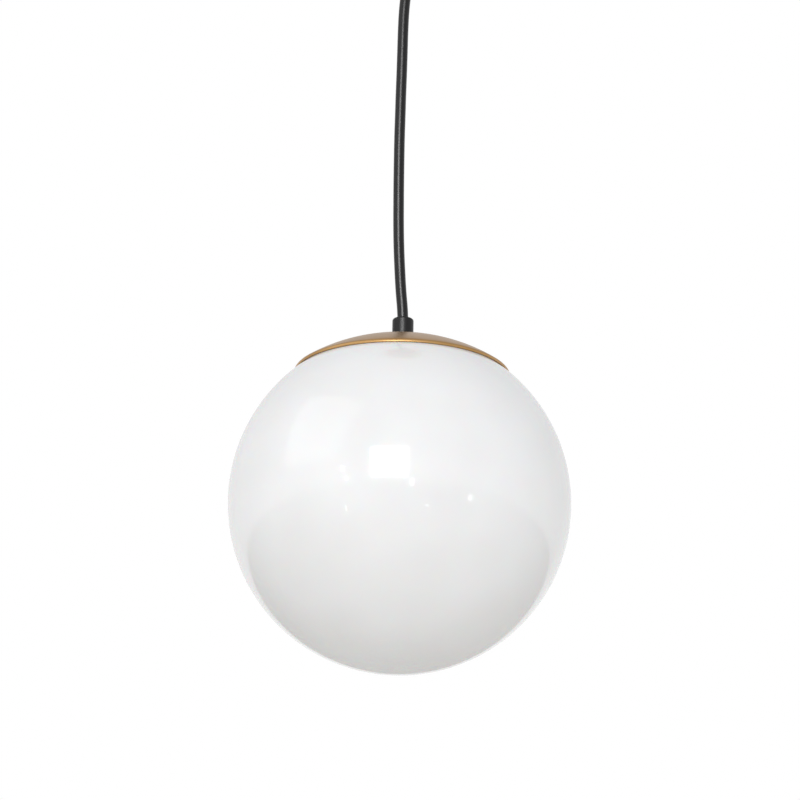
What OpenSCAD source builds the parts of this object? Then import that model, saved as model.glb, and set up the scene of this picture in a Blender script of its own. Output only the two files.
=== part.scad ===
// Pendant ceiling light: an opal glass globe held up against a brass cap by three leaf clips,
// hung on a three-core cord from a ceiling rose. Millimetres, +Z up. The origin is the centre of
// the ceiling face of the mounting bar, and everything hangs below it.

/* [Globe] */
// Outside diameter of the glass globe
globe_d = 250; // [225:1:310]
// Thickness of the glass
globe_wall = 3; // [2:0.5:4]
// Diameter of the opening in the top of the globe
opening_d = 128; // [104:1:132]

/* [Cap] */
// Outside diameter of the brass cap
cap_d = 160; // [154:1:200]
// Thickness of the spun brass sheet
cap_wall = 0.8; // [0.6:0.1:1.2]
// Height of the turned-down lip round the cap's edge
lip_h = 2.4; // [1:0.1:4]
// Height of the cap's inside above the edge of the glass opening
crown_gap = 0.6; // [0.6:0.05:3]

/* [Cord and cord grips] */
// Diameter of the cord's sheath
cord_d = 8.1; // [6:0.1:9]
// Diameter of each insulated core in the cord
core_d = 2.1; // [1.6:0.1:2.4]
// Outside diameter of a cord grip
grip_d = 15.8; // [14:0.2:22]
// Height of a cord grip
grip_h = 18.5; // [16:0.5:26]
// Diameter of the grip's clamping screw
grip_screw_d = 3; // [2:0.5:4]

/* [Threaded tube and nuts] */
// Diameter of the threaded tubes
tube_d = 10; // [9.6:0.1:13]
// Width across the flats of the nuts
nut_af = 14; // [13:0.5:18]
// Height of a nut
nut_h = 3; // [2:0.5:5]

/* [Globe holder] */
// Diameter of the plate that carries the leaf clips
plate_d = 88; // [70:1:92]
// Thickness of the plate
plate_t = 1.5; // [1:0.1:2.5]
// Width of a leaf clip
clip_w = 12; // [8:1:16]
// Thickness of a leaf clip
clip_t = 0.7; // [0.4:0.1:1]
// Diameter of the rivets
rivet_d = 3; // [2:0.5:4]

/* [Lamp holder and bulb] */
// Outside diameter of the lamp holder
holder_d = 40; // [38:1:50]
// Length of the lamp holder's lower shell
holder_h = 37; // [35:1:50]
// Mean diameter of the bulb's screw base
thread_d = 25.2; // [20:0.1:27]
// Pitch of the screw base
thread_pitch = 3.629; // [3:0.001:4]
// Diameter of the bulb's round envelope
bulb_d = 60; // [45:1:80]
// Length of the bulb from the end contact to the tip of the envelope
bulb_l = 107; // [95:1:130]

/* [Ceiling rose] */
// Outside diameter of the rose
rose_d = 110; // [108:1:140]
// Thickness of the rose's sheet
rose_wall = 1; // [0.8:0.1:1.5]
// Width of the mounting bar
bar_w = 22; // [18:1:30]
// Thickness of the mounting bar
bar_t = 2; // [1.5:0.5:3]
// Distance between the two ceiling screws
ceiling_screw_spacing = 70; // [60:1:76]
// Width of the slots for the ceiling screws
slot_w = 4.5; // [4:0.5:6]
// Length of the slots for the ceiling screws
slot_l = 14; // [8:1:16]
// Diameter of the two side screws that hold the rose
side_screw_d = 4; // [3:0.5:5]

/* [Hidden] */
$fn = 96;

// Clearances
glass_gap = 0.4;      // between the cap's lip and the glass
thread_gap = 0.4;     // between the bulb's thread and the screw shell
contact_gap = 0.3;    // between the bulb's end contact and the centre contact
bore_gap = 0.5;       // round the cord in a grip
pin_gap = 0.1;        // round a tube or screw in a plain hole
tail_gap = 1.5;       // between the two stretches of cord that meet at a bend point

// The cord's own route, from the bend point in the upper grip to the one in the lower grip
cord_route = [
    [0, 0, -44], [0, 0, -56], [-1, 0, -70], [-2.6, 0, -84], [-3.7, 0, -98], [-4.2, 0, -114],
    [-4.4, 0, -132], [-4.6, 0, -150], [-4.9, 0, -168], [-5.1, 0, -186], [-5.3, 0, -204],
    [-5.3, 0, -222], [-5.2, 0, -240], [-5, 0, -258], [-4.7, 0, -276], [-4.1, 0, -294],
    [-3.1, 0, -312], [-1.9, 0, -329], [-0.6, 0, -343], [0, 0, -354]
];
cord_sides = 12;
core_sides = 8;
bend_depth = 3;                                       // how far inside a grip the cord bends
cord_top_z = cord_route[0][2];
cord_low_z = cord_route[len(cord_route) - 1][2];
upper_mouth_z = cord_top_z - bend_depth;              // mouth of the rose's grip
lower_mouth_z = cord_low_z + bend_depth;              // mouth of the lamp's grip

// Globe and cap, with heights measured from the globe's centre
globe_r = globe_d / 2;
opening_r = opening_d / 2;
cap_r = cap_d / 2;
edge_out_z = sqrt(pow(globe_r, 2) - pow(opening_r, 2));
edge_in_z = sqrt(pow(globe_r - globe_wall, 2) - pow(opening_r, 2));
lip_top_z = sqrt(pow(globe_r + glass_gap, 2) - pow(cap_r, 2)) + lip_h;
crown_z = edge_out_z + crown_gap + cap_wall;
dome_z = (pow(cap_r, 2) + pow(lip_top_z, 2) - pow(opening_r, 2) - pow(crown_z, 2))
    / (2 * (lip_top_z - crown_z));
dome_r = norm([cap_r, lip_top_z - dome_z]);
apex_z = dome_z + dome_r;
globe_z = lower_mouth_z - grip_h - apex_z;            // the globe's centre in the part's frame
function dome_inside(r) = dome_z + sqrt(pow(dome_r - cap_wall, 2) - pow(r, 2));

// Threaded tube, nuts and plate, from the globe's centre
tube_r = tube_d / 2;
tube_bore_r = cord_d / 2 + 0.3;
grip_thread_h = 9;
washer_r = 9;
washer_t = 0.6;
washer_top_z = dome_inside(washer_r);
cap_nut_z = washer_top_z - washer_t - nut_h;
plate_r = plate_d / 2;
plate_drop = 3.2;                                     // from the cap's inside to the plate's edge
plate_z = dome_inside(plate_r) - plate_drop - plate_t;
earth_exit_z = (plate_z + plate_t + nut_h + cap_nut_z) / 2;
earth_reach = 17;                                     // from the axis to the plate's earth screw
lead_low_z = earth_exit_z + 3;                        // where the cord's sheath ends in the tube
holder_top_z = plate_z - nut_h;

// Lamp holder, from the globe's centre
holder_r = holder_d / 2;
holder_wall = 3;
holder_cap_h = 22;
holder_seam_z = holder_top_z - holder_cap_h;
holder_low_z = holder_seam_z - holder_h;
tube_low_z = holder_top_z - grip_thread_h;
insulator_t = 7;
insulator_top_z = holder_seam_z - 3;
insulator_low_z = insulator_top_z - insulator_t;
terminal_x = 9;
terminal_screw_r = 1.5;
contact_stem_r = 1.5;
thread_r = thread_d / 2;
thread_depth = 0.47;                                  // half the height from root to crest
shell_wall = 0.5;
shell_low_z = holder_low_z + 3;
mouth_lip_h = 2;
mouth_r = thread_r + thread_depth + thread_gap + shell_wall + 0.8;
contact_t = 0.5;
rings_per_turn = 4;
thread_sides = 24;
lead_turns = 2;                                       // turns of shell above the bulb's base

// Bulb, from the globe's centre
bulb_r = bulb_d / 2;
bulb_glass = 1;
bulb_contact_t = 0.8;
bulb_cone_h = 2.3;
bulb_base_top_z = insulator_low_z - lead_turns * thread_pitch;
bulb_tip_z = bulb_base_top_z + bulb_cone_h + bulb_contact_t;
contact_low_z = bulb_tip_z + contact_gap;
base_turns = 6;
bulb_base_l = base_turns * thread_pitch;
bulb_base_low_z = bulb_base_top_z - bulb_base_l;
bulb_base_bore_r = thread_r - thread_depth - 1;
bulb_neck_r = thread_r + thread_depth;
bulb_centre_z = bulb_tip_z - bulb_l + bulb_r;

// Leaf clips
clip_count = 3;
clip_turn = 90;                                       // bearing of the first clip
clip_z = plate_z - clip_t / 2;
rivet_places = [plate_r - 8, plate_r - 3];
rivet_head_r = rivet_d / 2 + 1;
rivet_head_t = 0.9;
clip_line = [
    [plate_r - 12, clip_z],
    [opening_r - 14, clip_z],
    [opening_r - 9, clip_z - 1.7],
    [opening_r - 5, edge_out_z - 0.4],
    [opening_r - 1.9, edge_in_z],
    [opening_r + 1.6, edge_in_z - 2.5],
    [opening_r - 0.5, edge_in_z - 9],
    [opening_r - 7, edge_in_z - 16.5],
    [opening_r - 13, edge_in_z - 20]
];
seat_in_r = opening_r + 7;
seat_out_r = cap_r - 4;

// Rose and mounting bar, from the ceiling
rose_r = rose_d / 2;
rose_corner = 8;
bar_l = 2 * (sqrt(pow(rose_r - rose_wall - 0.6, 2) - pow(bar_w / 2, 2)));
ear_h = 14;
side_screw_z = -9;
side_screw_r = side_screw_d / 2;
supply_hole_r = 6;
rose_floor_z = upper_mouth_z + grip_h;                // underside of the rose
rose_inside_z = rose_floor_z + rose_wall;
rose_tube_top_z = rose_inside_z + washer_t + nut_h + 1.4;
rose_tail_top_z = rose_tube_top_z + 1.5;
earth_screw_x = 19;
earth_screw_r = 2;
block_size = [30, 17, 12];
block_y = 16;
block_way = 10;
block_bore_r = core_d / 2 + 0.2;
block_screw_r = 1.6;

// ---- helpers ----

// Everything on the lamp is placed from the globe's centre
module lamp_frame() {
    translate([0, 0, globe_z]) children();
}

// A flat ring or disc standing on z = 0
module ring(outer_r, inner_r, height) {
    difference() {
        cylinder(r = outer_r, h = height);
        translate([0, 0, -1]) cylinder(r = inner_r, h = height + 2);
    }
}

// A hexagon nut standing on z = 0
module nut() {
    difference() {
        cylinder(d = nut_af / cos(30), h = nut_h, $fn = 6);
        translate([0, 0, -1]) cylinder(r = tube_r, h = nut_h + 2);
    }
}

// A lock washer with teeth round its edge, standing on z = 0
module tooth_washer() {
    teeth = 12;
    difference() {
        cylinder(r = washer_r, h = washer_t);
        translate([0, 0, -1]) cylinder(r = tube_r + pin_gap, h = washer_t + 2);
        for (i = [0 : teeth - 1])
            rotate(i * 360 / teeth)
                translate([washer_r, 0, -1]) cylinder(r = 1, h = washer_t + 2);
    }
}

// Rings of points along a route, each square to the line through its neighbours
function route_along(route, i) =
    let (ahead = route[min(i + 1, len(route) - 1)] - route[max(i - 1, 0)])
        ahead / norm(ahead);
function route_side(along) =
    let (side = abs(along[1]) > 0.9 ? cross(along, [1, 0, 0]) : cross(along, [0, 1, 0]))
        side / norm(side);
function route_ring(route, i, r, sides) =
    let (along = route_along(route, i), side = route_side(along), other = cross(along, side))
        [for (k = [0 : sides - 1])
            route[i] + r * (cos(k * 360 / sides) * side + sin(k * 360 / sides) * other)];

// A closed tube swept along a route
module swept_tube(route, r, sides) {
    rings = len(route);
    points = [for (i = [0 : rings - 1]) each route_ring(route, i, r, sides)];
    walls = [for (i = [0 : rings - 2], k = [0 : sides - 1], half = [0, 1])
        let (a = i * sides + k, b = i * sides + (k + 1) % sides)
            half ? [a, b + sides, a + sides] : [a, b, b + sides]];
    first_end = [for (k = [sides - 1 : -1 : 0]) k];
    last_end = [for (k = [0 : sides - 1]) (rings - 1) * sides + k];
    polyhedron(points, concat([first_end], walls, [last_end]), convexity = 6);
}

// The outline of a strip of even thickness along a line of points
function line_normal(line, i) =
    let (d = line[min(i + 1, len(line) - 1)] - line[max(i - 1, 0)])
        [-d[1], d[0]] / norm(d);
function strip_outline(line, t) = concat(
    [for (i = [0 : len(line) - 1]) line[i] + line_normal(line, i) * t / 2],
    [for (i = [len(line) - 1 : -1 : 0]) line[i] - line_normal(line, i) * t / 2]
);

// A right-hand rounded thread: its radius at a bearing and a height below the thread's start
function thread_radius(r, bearing, drop) =
    r + thread_depth * cos(bearing + 360 * drop / thread_pitch);

// A threaded tube that hangs down from z = 0. Its bore is threaded too, or plain where
// bore_depth is 0.
module threaded_tube(outer_r, bore_r, turns, bore_depth) {
    rings = turns * rings_per_turn + 1;
    step = thread_pitch / rings_per_turn;
    sides = thread_sides;
    function ring_points(r, depth, i) = [for (k = [0 : sides - 1])
        let (bearing = k * 360 / sides, drop = i * step,
             at = depth ? thread_radius(r, bearing, drop) : r)
            [at * cos(bearing), at * sin(bearing), -drop]];
    points = concat(
        [for (i = [0 : rings - 1]) each ring_points(outer_r, 1, i)],
        [for (i = [0 : rings - 1]) each ring_points(bore_r, bore_depth, i)]);
    inner = rings * sides;
    last = (rings - 1) * sides;
    faces = concat(
        [for (i = [0 : rings - 2], k = [0 : sides - 1], half = [0, 1])
            let (a = i * sides + k, b = i * sides + (k + 1) % sides)
                half ? [a, b + sides, a + sides] : [a, b, b + sides]],
        [for (i = [0 : rings - 2], k = [0 : sides - 1], half = [0, 1])
            let (a = inner + i * sides + k, b = inner + i * sides + (k + 1) % sides)
                half ? [a, a + sides, b + sides] : [a, b + sides, b]],
        [for (k = [0 : sides - 1], half = [0, 1])
            let (n = (k + 1) % sides)
                half ? [k, inner + n, n] : [k, inner + k, inner + n]],
        [for (k = [0 : sides - 1], half = [0, 1])
            let (a = last + k, b = last + (k + 1) % sides)
                half ? [a, b, inner + b] : [a, inner + b, inner + a]]);
    polyhedron(points, faces, convexity = 10);
}

// ---- ceiling rose ----

module mounting_bar() {
    slot_run = slot_l - slot_w;
    color("silver") difference() {
        union() {
            translate([-bar_l / 2, -bar_w / 2, -bar_t]) cube([bar_l, bar_w, bar_t]);
            for (side = [0, 1])
                mirror([side, 0, 0])
                    translate([bar_l / 2 - bar_t, -bar_w / 2, -ear_h])
                        cube([bar_t, bar_w, ear_h]);
        }
        for (x = [-1, 1] * ceiling_screw_spacing / 2)
            translate([x, 0, -bar_t - 1]) {
                for (end = [-1, 1])
                    translate([end * slot_run / 2, 0, 0]) cylinder(d = slot_w, h = bar_t + 2);
                translate([-slot_run / 2, -slot_w / 2, 0]) cube([slot_run, slot_w, bar_t + 2]);
            }
        translate([0, 0, -bar_t - 1]) cylinder(r = supply_hole_r, h = bar_t + 2);
        translate([earth_screw_x, 0, -bar_t - 1]) cylinder(r = earth_screw_r, h = bar_t + 2);
        translate([-bar_l / 2 - 1, 0, side_screw_z])
            rotate([0, 90, 0]) cylinder(r = side_screw_r + pin_gap, h = bar_l + 2);
    }
}

module earth_screw() {
    color("goldenrod") translate([earth_screw_x, 0, 0]) difference() {
        union() {
            translate([0, 0, -bar_t]) cylinder(r = earth_screw_r, h = bar_t);
            translate([0, 0, -bar_t - 2.2]) cylinder(r = 3.8, h = 2.2);
        }
        translate([-4, -0.5, -bar_t - 3]) cube([8, 1, 1.6]);
    }
}

module rose_outline(r, h, corner) {
    square_top = h - corner;
    translate([0, -square_top]) square([r, square_top]);
    translate([0, -h]) square([r - corner, h]);
    translate([r - corner, -square_top]) circle(r = corner);
}

module rose() {
    height = -rose_floor_z;
    color("peru") difference() {
        rotate_extrude() intersection() {
            difference() {
                rose_outline(rose_r, height, rose_corner);
                translate([0, 1]) rose_outline(rose_r - rose_wall, height + 1 - rose_wall,
                    rose_corner - rose_wall);
            }
            translate([0, -height]) square([rose_r, height]);
        }
        translate([0, 0, -height - 1]) cylinder(r = tube_r + pin_gap, h = rose_wall + 2);
        translate([-rose_r - 1, 0, side_screw_z])
            rotate([0, 90, 0]) cylinder(r = side_screw_r + 0.3, h = rose_d + 2);
    }
}

module rose_side_screws() {
    head_r = 4;
    head_t = 2.4;
    color("peru") for (side = [0, 1])
        mirror([side, 0, 0])
            translate([0, 0, side_screw_z]) rotate([0, 90, 0]) difference() {
                union() {
                    translate([0, 0, bar_l / 2 - bar_t - 1.5])
                        cylinder(r = side_screw_r, h = rose_r - bar_l / 2 + bar_t + 1.6);
                    translate([0, 0, rose_r + 0.1]) cylinder(r = head_r, h = head_t);
                }
                translate([-head_r - 1, -0.5, rose_r + head_t - 0.9])
                    cube([2 * head_r + 2, 1, 2]);
            }
}

module rose_tube() {
    low = rose_floor_z - grip_thread_h;
    color("goldenrod") translate([0, 0, low])
        ring(tube_r, tube_bore_r, rose_tube_top_z - low);
}

module rose_washer() {
    color("silver") translate([0, 0, rose_inside_z]) tooth_washer();
}

module rose_nut() {
    color("goldenrod") translate([0, 0, rose_inside_z + washer_t]) nut();
}

// A moulded cord grip standing on z = 0, with its cord mouth at the top
module cord_grip() {
    shoulder = 1.6;
    mouth_flare = 1;
    grip_r = grip_d / 2;
    bore_r = cord_d / 2 + bore_gap;
    color([0.13, 0.13, 0.13]) difference() {
        rotate_extrude() difference() {
            union() {
                square([grip_r, grip_h - shoulder]);
                square([grip_r - shoulder, grip_h]);
                translate([grip_r - shoulder, grip_h - shoulder]) circle(r = shoulder);
            }
            translate([0, -1]) square([bore_r, grip_h + 2]);
            translate([0, -1]) square([tube_r, grip_thread_h + 1]);
            polygon([[0, grip_h - bend_depth], [bore_r, grip_h - bend_depth],
                [bore_r + mouth_flare, grip_h + 0.01], [0, grip_h + 0.01]]);
        }
        translate([0, 0, grip_screw_h()])
            rotate([-90, 0, 0]) cylinder(d = grip_screw_d, h = grip_r + 1);
    }
}

function grip_screw_h() = grip_h - bend_depth - tail_gap - 2.6;

// The clamping screw of a grip that stands on z = 0, pressed on the cord from the back
module grip_screw() {
    tip = cord_d / 2 + 0.02;
    color("dimgray") translate([0, 0, grip_screw_h()]) rotate([-90, 0, 0]) difference() {
        translate([0, 0, tip]) cylinder(d = grip_screw_d, h = grip_d / 2 - tip - 0.3);
        translate([-grip_screw_d, -0.3, grip_d / 2 - 1.2]) cube([2 * grip_screw_d, 0.6, 2]);
    }
}

// Turns a grip over, to hang under the rose
module under_rose() {
    translate([0, 0, rose_floor_z]) mirror([0, 0, 1]) children();
}

module rose_grip() {
    under_rose() cord_grip();
}

module rose_grip_screw() {
    under_rose() grip_screw();
}

module cord_tail() {
    low = cord_top_z + tail_gap;
    color([0.12, 0.12, 0.12]) translate([0, 0, low])
        cylinder(d = cord_d, h = rose_tail_top_z - low);
}

module terminal_block() {
    color("white") difference() {
        translate([-block_size[0] / 2, block_y, rose_inside_z]) cube(block_size);
        for (way = [-1 : 1])
            translate([way * block_way, block_y - 1, rose_inside_z + block_size[2] / 2]) {
                rotate([-90, 0, 0]) cylinder(r = block_bore_r, h = block_size[1] + 2);
                for (y = [4.5, 12.5])
                    translate([0, y + 1, 0]) cylinder(r = block_screw_r, h = block_size[2]);
            }
    }
}

module terminal_screws() {
    color("silver") for (way = [-1 : 1], y = [4.5, 12.5])
        translate([way * block_way, block_y + y, rose_inside_z + block_size[2] / 2])
            difference() {
                translate([0, 0, block_bore_r + 0.2])
                    cylinder(r = block_screw_r, h = block_size[2] / 2 - block_bore_r - 1);
                translate([-2, -0.3, block_size[2] / 2 - 1.6]) cube([4, 0.6, 2]);
            }
}

// A core of the cord inside the rose, from the sheath's end to one way of the terminal block
module rose_core(way, start) {
    z = rose_tail_top_z;
    entry_z = rose_inside_z + block_size[2] / 2;
    x = way * block_way;
    swept_tube([
        [start[0], start[1], z], [start[0], start[1], z + 2],
        [start[0] * 1.3 + x * 0.1, start[1] + 1.2, z + 3.6],
        [x * 0.45, 6, z + 4.2], [x * 0.8, 10, z + 1.4],
        [x, 13.4, entry_z + 0.6], [x, block_y, entry_z], [x, block_y + 7, entry_z]
    ], core_d / 2 - 0.05, core_sides);
}

module live_wire() {
    color("saddlebrown") rose_core(-1, [-1.7, 0.6]);
}

module neutral_wire() {
    color("royalblue") rose_core(0, [0, -1.8]);
}

module earth_wire() {
    color("yellowgreen") rose_core(1, [1.7, 0.6]);
}

// The earth link from the terminal block to the mounting bar
module bar_earth_wire() {
    entry_z = rose_inside_z + block_size[2] / 2;
    back_y = block_y + block_size[1];
    color("yellowgreen") swept_tube([
        [block_way, back_y - 7, entry_z], [block_way, back_y, entry_z],
        [block_way + 1, back_y + 3.5, entry_z + 0.6], [block_way + 5, back_y + 5, entry_z + 3],
        [block_way + 10, back_y + 2, entry_z + 6], [block_way + 13, back_y - 6, entry_z + 9],
        [block_way + 13, back_y - 16, entry_z + 12.4],
        [block_way + 11.5, back_y - 25, entry_z + 14.4],
        [block_way + 10, 4.6, -bar_t - 1.2]
    ], core_d / 2 - 0.05, core_sides);
}

// ---- cord ----

module cord() {
    color([0.12, 0.12, 0.12]) swept_tube(cord_route, cord_d / 2, cord_sides);
}

// ---- lamp ----

module lamp_grip() {
    translate([0, 0, globe_z + apex_z]) cord_grip();
}

module lamp_grip_screw() {
    translate([0, 0, globe_z + apex_z]) grip_screw();
}

// The cord's sheath below the bend point, down into the threaded tube
module lamp_lead() {
    top = cord_low_z - tail_gap - globe_z;
    color([0.12, 0.12, 0.12]) lamp_frame()
        translate([0, 0, lead_low_z]) cylinder(d = cord_d, h = top - lead_low_z);
}

// A core from the sheath's end, down the tube and out to a holder terminal
module holder_core(side) {
    low = insulator_top_z + 2.6;
    lamp_frame() swept_tube([
        [side * 1.8, -0.6, lead_low_z], [side * 1.8, -0.6, tube_low_z + 1],
        [side * 2.2, -0.4, tube_low_z - 2], [side * 4.2, 0, tube_low_z - 5],
        [side * 7, 0, low + 4.4], [side * terminal_x, 0, low + 2], [side * terminal_x, 0, low]
    ], core_d / 2 - 0.05, core_sides);
}

module lamp_live_core() {
    color("saddlebrown") holder_core(1);
}

module lamp_neutral_core() {
    color("royalblue") holder_core(-1);
}

// The earth core leaves the tube by its side hole and ends at the plate's earth screw
module lamp_earth_core() {
    end_y = earth_reach - rivet_d;
    end_z = plate_z + plate_t + core_d / 2 + 0.3;
    color("yellowgreen") lamp_frame() swept_tube([
        [0, 2, lead_low_z], [0, 2, lead_low_z - 0.8], [0, 2.6, earth_exit_z + 0.8],
        [0, 3.8, earth_exit_z], [0, 6, earth_exit_z], [0, 8.4, earth_exit_z],
        [0, end_y - 3.6, (earth_exit_z + end_z) / 2], [0, end_y - 2, end_z], [0, end_y, end_z]
    ], core_d / 2 - 0.05, core_sides);
}

module lamp_tube() {
    top = apex_z + grip_thread_h;
    color("goldenrod") lamp_frame() difference() {
        translate([0, 0, tube_low_z]) ring(tube_r, tube_bore_r, top - tube_low_z);
        translate([0, 0, earth_exit_z])
            rotate([-90, 0, 0]) cylinder(r = core_d / 2 + 0.3, h = tube_r + 1);
    }
}

// Half the section of the room that the glass and its clearance take, outside its opening
module glass_room() {
    intersection() {
        circle(r = globe_r + glass_gap, $fn = 360);
        translate([opening_r, 0]) square([globe_r, globe_r]);
    }
}

module cap() {
    color("peru") lamp_frame() rotate_extrude() difference() {
        union() {
            intersection() {
                translate([0, dome_z]) circle(r = dome_r, $fn = 360);
                translate([0, lip_top_z - 0.01]) square([cap_r, apex_z]);
            }
            translate([0, lip_top_z - lip_h - 1]) square([cap_r, lip_h + 1]);
        }
        intersection() {
            translate([0, dome_z]) circle(r = dome_r - cap_wall, $fn = 360);
            square([cap_r - cap_wall, apex_z]);
        }
        glass_room();
        square([tube_r + pin_gap, apex_z + 1]);
    }
}

module cap_washer() {
    color("silver") lamp_frame() translate([0, 0, washer_top_z - washer_t]) tooth_washer();
}

module cap_nut() {
    color("goldenrod") lamp_frame() translate([0, 0, cap_nut_z]) nut();
}

// A thin silicone ring in the cap that the glass is pressed up against
module seat_ring() {
    color("gainsboro") lamp_frame() rotate_extrude() intersection() {
        difference() {
            translate([0, dome_z]) circle(r = dome_r - cap_wall, $fn = 360);
            glass_room();
        }
        translate([seat_in_r, 0]) square([seat_out_r - seat_in_r, apex_z]);
    }
}

// Places a copy of the children at each leaf clip, with +X pointing outwards
module at_each_clip() {
    for (i = [0 : clip_count - 1]) rotate(clip_turn + i * 360 / clip_count) children();
}

module clip_plate() {
    vent_r = 5;
    color("silver") lamp_frame() difference() {
        translate([0, 0, plate_z]) cylinder(r = plate_r, h = plate_t);
        translate([0, 0, plate_z - 1]) {
            cylinder(r = tube_r + pin_gap, h = plate_t + 2);
            translate([0, earth_reach, 0]) cylinder(r = rivet_d / 2, h = plate_t + 2);
            at_each_clip() {
                for (x = rivet_places)
                    translate([x, 0, 0]) cylinder(d = rivet_d, h = plate_t + 2);
                rotate(180 / clip_count)
                    translate([plate_r * 0.62, 0, 0]) cylinder(r = vent_r, h = plate_t + 2);
            }
        }
    }
}

module plate_nuts() {
    color("goldenrod") lamp_frame() {
        translate([0, 0, plate_z + plate_t]) nut();
        translate([0, 0, plate_z - nut_h]) nut();
    }
}

module leaf_clips() {
    color("lightgray") lamp_frame() at_each_clip() difference() {
        translate([0, clip_w / 2, 0]) rotate([90, 0, 0])
            linear_extrude(clip_w) polygon(strip_outline(clip_line, clip_t));
        for (x = rivet_places)
            translate([x, 0, plate_z - clip_t - 1]) cylinder(d = rivet_d, h = clip_t + 2);
    }
}

module clip_rivets() {
    color("silver") lamp_frame() at_each_clip() for (x = rivet_places)
        translate([x, 0, plate_z]) {
            translate([0, 0, -clip_t]) cylinder(d = rivet_d, h = plate_t + clip_t);
            translate([0, 0, plate_t]) cylinder(r = rivet_head_r, h = rivet_head_t);
            translate([0, 0, -clip_t - rivet_head_t])
                cylinder(r = rivet_head_r, h = rivet_head_t);
        }
}

module plate_earth_screw() {
    top = plate_z + plate_t;
    color("goldenrod") lamp_frame() translate([0, earth_reach, 0]) difference() {
        union() {
            translate([0, 0, plate_z - 2]) cylinder(d = rivet_d, h = plate_t + 2);
            translate([0, 0, top]) cylinder(r = rivet_d, h = 1.8);
        }
        translate([-rivet_d - 1, -0.4, top + 1]) cube([2 * rivet_d + 2, 0.8, 2]);
    }
}

// ---- lamp holder ----

module holder_cap() {
    neck_r = tube_r + 3.5;
    neck_h = 6;
    shoulder_h = 13;
    crown_h = grip_thread_h + 1;
    color([0.15, 0.15, 0.15]) lamp_frame() translate([0, 0, holder_top_z]) rotate_extrude()
        difference() {
            polygon([[0, 0], [neck_r, 0], [neck_r, -neck_h * 0.4], [holder_r - 1.5, -shoulder_h],
                [holder_r, -shoulder_h - 2], [holder_r, -holder_cap_h], [0, -holder_cap_h]]);
            polygon([[0, 1], [tube_r, 1], [tube_r, -crown_h], [tube_r + 3.5, -crown_h],
                [holder_r - holder_wall, -shoulder_h - 3],
                [holder_r - holder_wall, -holder_cap_h - 1], [0, -holder_cap_h - 1]]);
        }
}

module holder_shell() {
    taper = 2;
    color([0.15, 0.15, 0.15]) lamp_frame() translate([0, 0, holder_low_z]) rotate_extrude()
        difference() {
            polygon([[0, 0], [holder_r - taper, 0], [holder_r, 12], [holder_r, holder_h],
                [0, holder_h]]);
            translate([0, mouth_lip_h]) square([holder_r - holder_wall, holder_h]);
            translate([0, -1]) square([mouth_r, holder_h]);
        }
}

module holder_insulator() {
    color("ivory") lamp_frame() translate([0, 0, insulator_low_z]) difference() {
        cylinder(r = holder_r - holder_wall, h = insulator_t);
        translate([0, 0, -1]) cylinder(r = contact_stem_r, h = insulator_t + 2);
        for (x = [-1, 1] * terminal_x)
            translate([x, 0, insulator_t - 4]) cylinder(r = terminal_screw_r, h = 5);
    }
}

module holder_terminals() {
    color("goldenrod") lamp_frame() for (x = [-1, 1] * terminal_x)
        translate([x, 0, insulator_top_z]) {
            translate([0, 0, -4]) cylinder(r = terminal_screw_r, h = 4);
            cylinder(r = 2.8, h = 2.6);
        }
}

// The screw shell starts a whole number of turns above the bulb's thread, so they are in mesh
module screw_shell() {
    turns = floor((insulator_low_z - shell_low_z) / thread_pitch);
    bore = thread_r + thread_gap;
    color("goldenrod") lamp_frame() translate([0, 0, insulator_low_z])
        threaded_tube(bore + shell_wall, bore, turns, 1);
}

module centre_contact() {
    color("goldenrod") lamp_frame() {
        translate([0, 0, contact_low_z]) cylinder(r = 4, h = contact_t);
        translate([0, 0, contact_low_z])
            cylinder(r = contact_stem_r, h = insulator_top_z - contact_low_z);
    }
}

// ---- globe ----

module globe() {
    color([0.96, 0.95, 0.92]) lamp_frame() rotate_extrude() difference() {
        circle(r = globe_r, $fn = 180);
        circle(r = globe_r - globe_wall, $fn = 180);
        square([opening_r, globe_r + 1]);
        translate([-globe_r - 1, -globe_r - 1]) square([globe_r + 1, globe_d + 2]);
    }
}

// ---- bulb ----

module bulb_contact() {
    color("silver") lamp_frame() translate([0, 0, bulb_tip_z - bulb_contact_t])
        cylinder(r = 3, h = bulb_contact_t);
}

module bulb_insulator() {
    color("black") lamp_frame() translate([0, 0, bulb_base_top_z])
        cylinder(r1 = thread_r - thread_depth, r2 = 3.6, h = bulb_cone_h);
}

module bulb_base() {
    color("silver") lamp_frame() translate([0, 0, bulb_base_top_z])
        threaded_tube(thread_r, bulb_base_bore_r, base_turns, 0);
}

// The solid of revolution inside the bulb's glass, or the outer one where thin is 0
module bulb_form(thin) {
    neck = bulb_neck_r - thin;
    top = bulb_base_low_z;
    flare = (top - bulb_centre_z) * 0.36;
    shoulder = [bulb_r * 0.84, bulb_r * 0.54] * (1 - thin / bulb_r);
    translate([0, 0, bulb_centre_z]) sphere(r = bulb_r - thin);
    rotate_extrude() polygon([[0, top + thin], [neck, top + thin], [neck + 0.8, top - flare * 0.5],
        [neck + 4.5, top - flare * 1.1], [shoulder[0], bulb_centre_z + shoulder[1]],
        [0, bulb_centre_z]]);
}

module bulb_envelope() {
    color("white") lamp_frame() difference() {
        bulb_form(0);
        bulb_form(bulb_glass);
    }
}

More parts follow.
